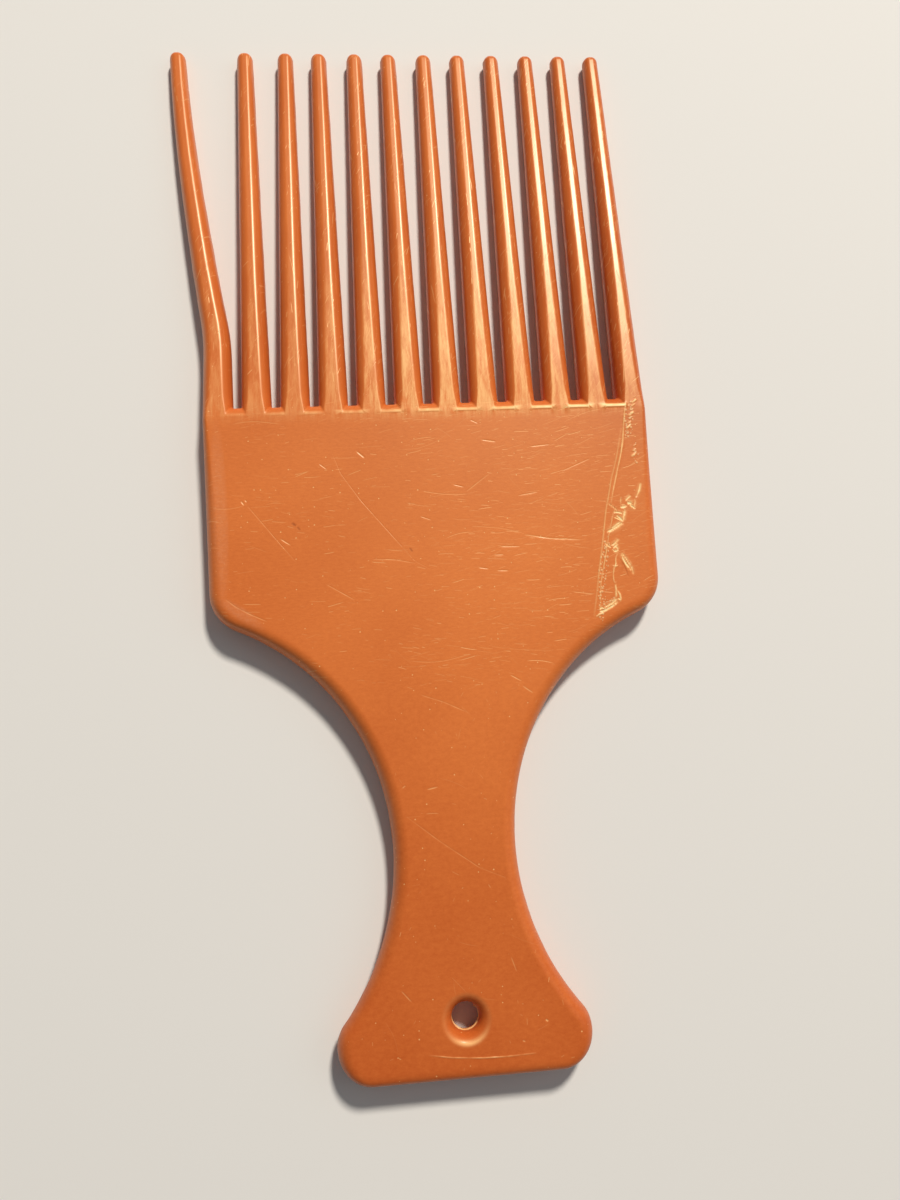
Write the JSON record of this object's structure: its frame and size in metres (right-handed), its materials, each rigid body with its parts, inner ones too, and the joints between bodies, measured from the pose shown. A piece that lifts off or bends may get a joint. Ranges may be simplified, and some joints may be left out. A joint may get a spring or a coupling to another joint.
{
  "type": "afro pick",
  "caption": "Moulded hair pick with long round tapering teeth, the first one bent outward, a broad flat blade with sloping shoulders, a waisted handle and a rounded hanging hole.",
  "frame": {"origin": "on the centreline, on the back face, halfway between the tips and the end of the handle", "axes": "+Y from the handle to the tips, +X to the right when the front face is looked at with the tips up, +Z out of the front face"},
  "size_m": [0.0771, 0.1684, 0.0055],
  "materials": {
    "moulded_plastic": "semi-gloss terracotta orange polypropylene with fine scratches and a thin parting line"
  },
  "bodies": {
    "root": {"blade": "moulded_plastic", "handle": "moulded_plastic", "tooth_01": "moulded_plastic", "tooth_02": "moulded_plastic", "tooth_03": "moulded_plastic", "tooth_04": "moulded_plastic", "tooth_05": "moulded_plastic", "tooth_06": "moulded_plastic", "tooth_07": "moulded_plastic", "tooth_08": "moulded_plastic", "tooth_09": "moulded_plastic", "tooth_10": "moulded_plastic", "tooth_11": "moulded_plastic", "tooth_12": "moulded_plastic"}
  },
  "joints": []
}
